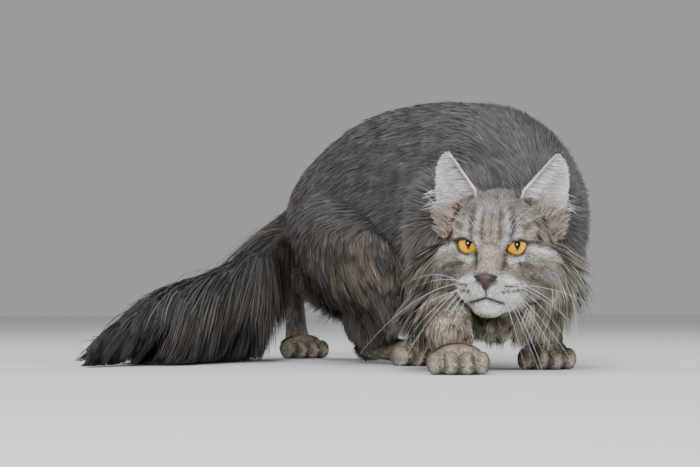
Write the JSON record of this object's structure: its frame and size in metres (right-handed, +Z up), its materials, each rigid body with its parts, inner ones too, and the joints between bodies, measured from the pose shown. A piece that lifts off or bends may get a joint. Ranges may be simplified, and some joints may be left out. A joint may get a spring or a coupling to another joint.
{
  "type": "maine coon cat",
  "caption": "A long-haired blue tabby maine coon cat, life size, in a low stalking crouch with its head lowered, its ruff full and its bushy tail swept to the side along the floor",
  "frame": {"origin": "centre of the bounding box at floor level", "axes": "+Z up; the cat walks towards -Y, its left side is towards +X; +Y, towards the rump, is the longest extent and +Z the shortest"},
  "size_m": [0.426, 0.5938, 0.2619],
  "materials": {
    "iris": "glossy amber eye with a dark pupil",
    "nose_leather": "moist brick-coloured skin with a dark outline",
    "face_fur": "short plush tabby fur, pale muzzle and chin",
    "ear_fur": "thin skin with short fur outside and long pale furnishings inside",
    "ruff_fur": "long loose pale grey and silver locks",
    "body_fur": "shaggy ticked slate-grey coat",
    "leg_fur": "dense warm grey fur",
    "paw_fur": "short tan fur with darker stripes between the toes",
    "tail_fur": "very long dark flowing plume"
  },
  "bodies": {
    "root": {"ear_left": "ear_fur", "ear_right": "ear_fur", "eye_left": "iris", "eye_right": "iris", "foreleg_left": "leg_fur", "foreleg_right": "leg_fur", "forepaw_left": "paw_fur", "forepaw_right": "paw_fur", "head": "face_fur", "hindfoot_left": "paw_fur", "hindfoot_right": "paw_fur", "neck": "ruff_fur", "nose": "nose_leather", "shin_left": "leg_fur", "shin_right": "leg_fur", "tail_base": "tail_fur", "tail_middle": "tail_fur", "tail_tip": "tail_fur", "thigh_left": "leg_fur", "thigh_right": "leg_fur", "torso": "body_fur"}
  },
  "joints": []
}
